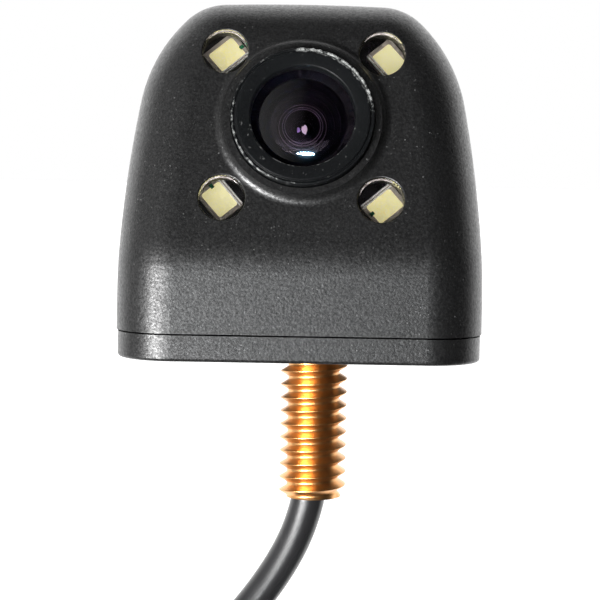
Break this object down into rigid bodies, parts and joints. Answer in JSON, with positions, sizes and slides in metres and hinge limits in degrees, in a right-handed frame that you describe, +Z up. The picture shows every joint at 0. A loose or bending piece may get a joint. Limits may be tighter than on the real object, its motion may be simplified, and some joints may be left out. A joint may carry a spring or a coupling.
{
  "type": "backup camera",
  "caption": "Small stem-mounted reversing camera: a tapered black housing with a leaning round lens and corner lamps, on a hollow brass threaded stem, with its lead and screw-lock connector.",
  "frame": {"origin": "on the threaded stem's axis, at the underside of the base cover", "axes": "-Y is the way the lens faces, +X is on the right as one looks at the lens, +Z is up, away from the stem"},
  "size_m": [0.0499, 0.0296, 0.1412],
  "materials": {
    "housing_plastic": "fine-grained moulded ABS, black",
    "rubber": "black seal rubber",
    "jacket": "satin black PVC cable jacket",
    "steel": "plain steel screws",
    "brass": "bright turned brass",
    "lens_black": "black anodised aluminium",
    "lens_glass": "coated optical glass",
    "filter_glass": "infrared cut filter glass",
    "window_clear": "clear polycarbonate lamp window",
    "package_white": "moulded white lamp package",
    "phosphor": "pale yellow phosphor under silicone",
    "plastic_dark": "black moulded nylon",
    "nut_plastic": "black ribbed nylon",
    "plastic_white": "natural nylon connector",
    "board": "green solder mask on glass-epoxy board",
    "lamp_board": "black solder mask on glass-epoxy board",
    "sensor": "image sensor in a ceramic package",
    "chip": "black moulded chip package",
    "component": "chip capacitors, coil and crystal",
    "ribbon": "amber polyimide ribbon",
    "wire": "PVC insulated wires",
    "tie": "black nylon cable tie"
  },
  "bodies": {
    "camera": {"aperture_stop": "lens_black", "base_cover": "housing_plastic", "board_components": "component", "board_spacers": "brass", "cable_stop": "rubber", "cable_tie": "tie", "connector_body": "plastic_dark", "connector_boot": "jacket", "connector_contacts": "brass", "connector_insert": "plastic_dark", "connector_seal": "rubber", "cord_coil": "jacket", "cord_drop": "jacket", "cord_tail": "jacket", "cover_gasket": "rubber", "cover_screws": "steel", "front_element": "lens_glass", "holder_screws": "steel", "housing": "housing_plastic", "image_processor": "chip", "image_sensor": "sensor", "inner_cable": "jacket", "inner_wires": "wire", "ir_filter": "filter_glass", "lamp_board": "lamp_board", "lamp_board_screws": "steel", "lamp_package_1": "package_white", "lamp_package_2": "package_white", "lamp_package_3": "package_white", "lamp_package_4": "package_white", "lamp_phosphor_1": "phosphor", "lamp_phosphor_2": "phosphor", "lamp_phosphor_3": "phosphor", "lamp_phosphor_4": "phosphor", "lamp_ribbon": "ribbon", "lamp_window_1": "window_clear", "lamp_window_2": "window_clear", "lamp_window_3": "window_clear", "lamp_window_4": "window_clear", "lens_barrel": "lens_black", "lens_holder": "plastic_dark", "lens_lock_nut": "lens_black", "lens_o_ring": "rubber", "lens_ring": "lens_black", "lens_spacer": "lens_black", "processor_board": "board", "rear_element": "lens_glass", "rear_retainer": "lens_black", "second_element": "lens_glass", "sensor_board": "board", "stem_seal": "rubber", "third_element": "lens_glass", "threaded_stem": "brass", "wire_header": "plastic_white", "wire_plug": "plastic_white"},
    "connector_nut": {"coupling_nut": "nut_plastic"}
  },
  "joints": [
    {"name": "coupling_nut_spin", "type": "hinge", "parent": "camera", "child": "connector_nut", "pos_m": [-0.0175, 0.004, -0.1], "axis": [0, 0, 1], "continuous": true}
  ]
}
